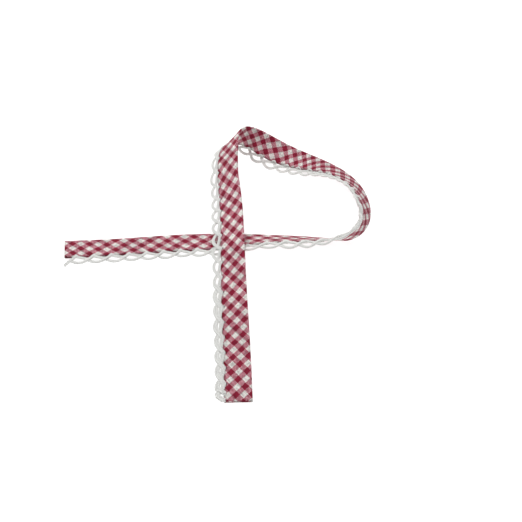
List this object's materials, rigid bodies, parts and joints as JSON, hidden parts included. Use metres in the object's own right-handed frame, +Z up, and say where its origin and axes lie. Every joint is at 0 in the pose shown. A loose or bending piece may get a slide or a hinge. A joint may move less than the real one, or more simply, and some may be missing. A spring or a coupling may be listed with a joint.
{
  "type": "length of bias tape with crochet edging",
  "caption": "Folded gingham bias tape with a crochet loop edging, laid on a table in an open loop whose end crosses over the start.",
  "frame": {"origin": "middle of the footprint, on the surface the tape lies on", "axes": "+X runs along the first tail from its cut end towards the bend, +Y points from the second cut end back along its tail to the raised corner, +Z is up"},
  "size_m": [0.1518, 0.1666, 0.0201],
  "materials": {
    "gingham_cotton": "matt plain weave, crimson and white checks cut on the bias",
    "crochet_cotton": "matt twisted cotton thread, off-white"
  },
  "bodies": {
    "root": {"tape": "gingham_cotton", "lace": "crochet_cotton"}
  },
  "joints": []
}
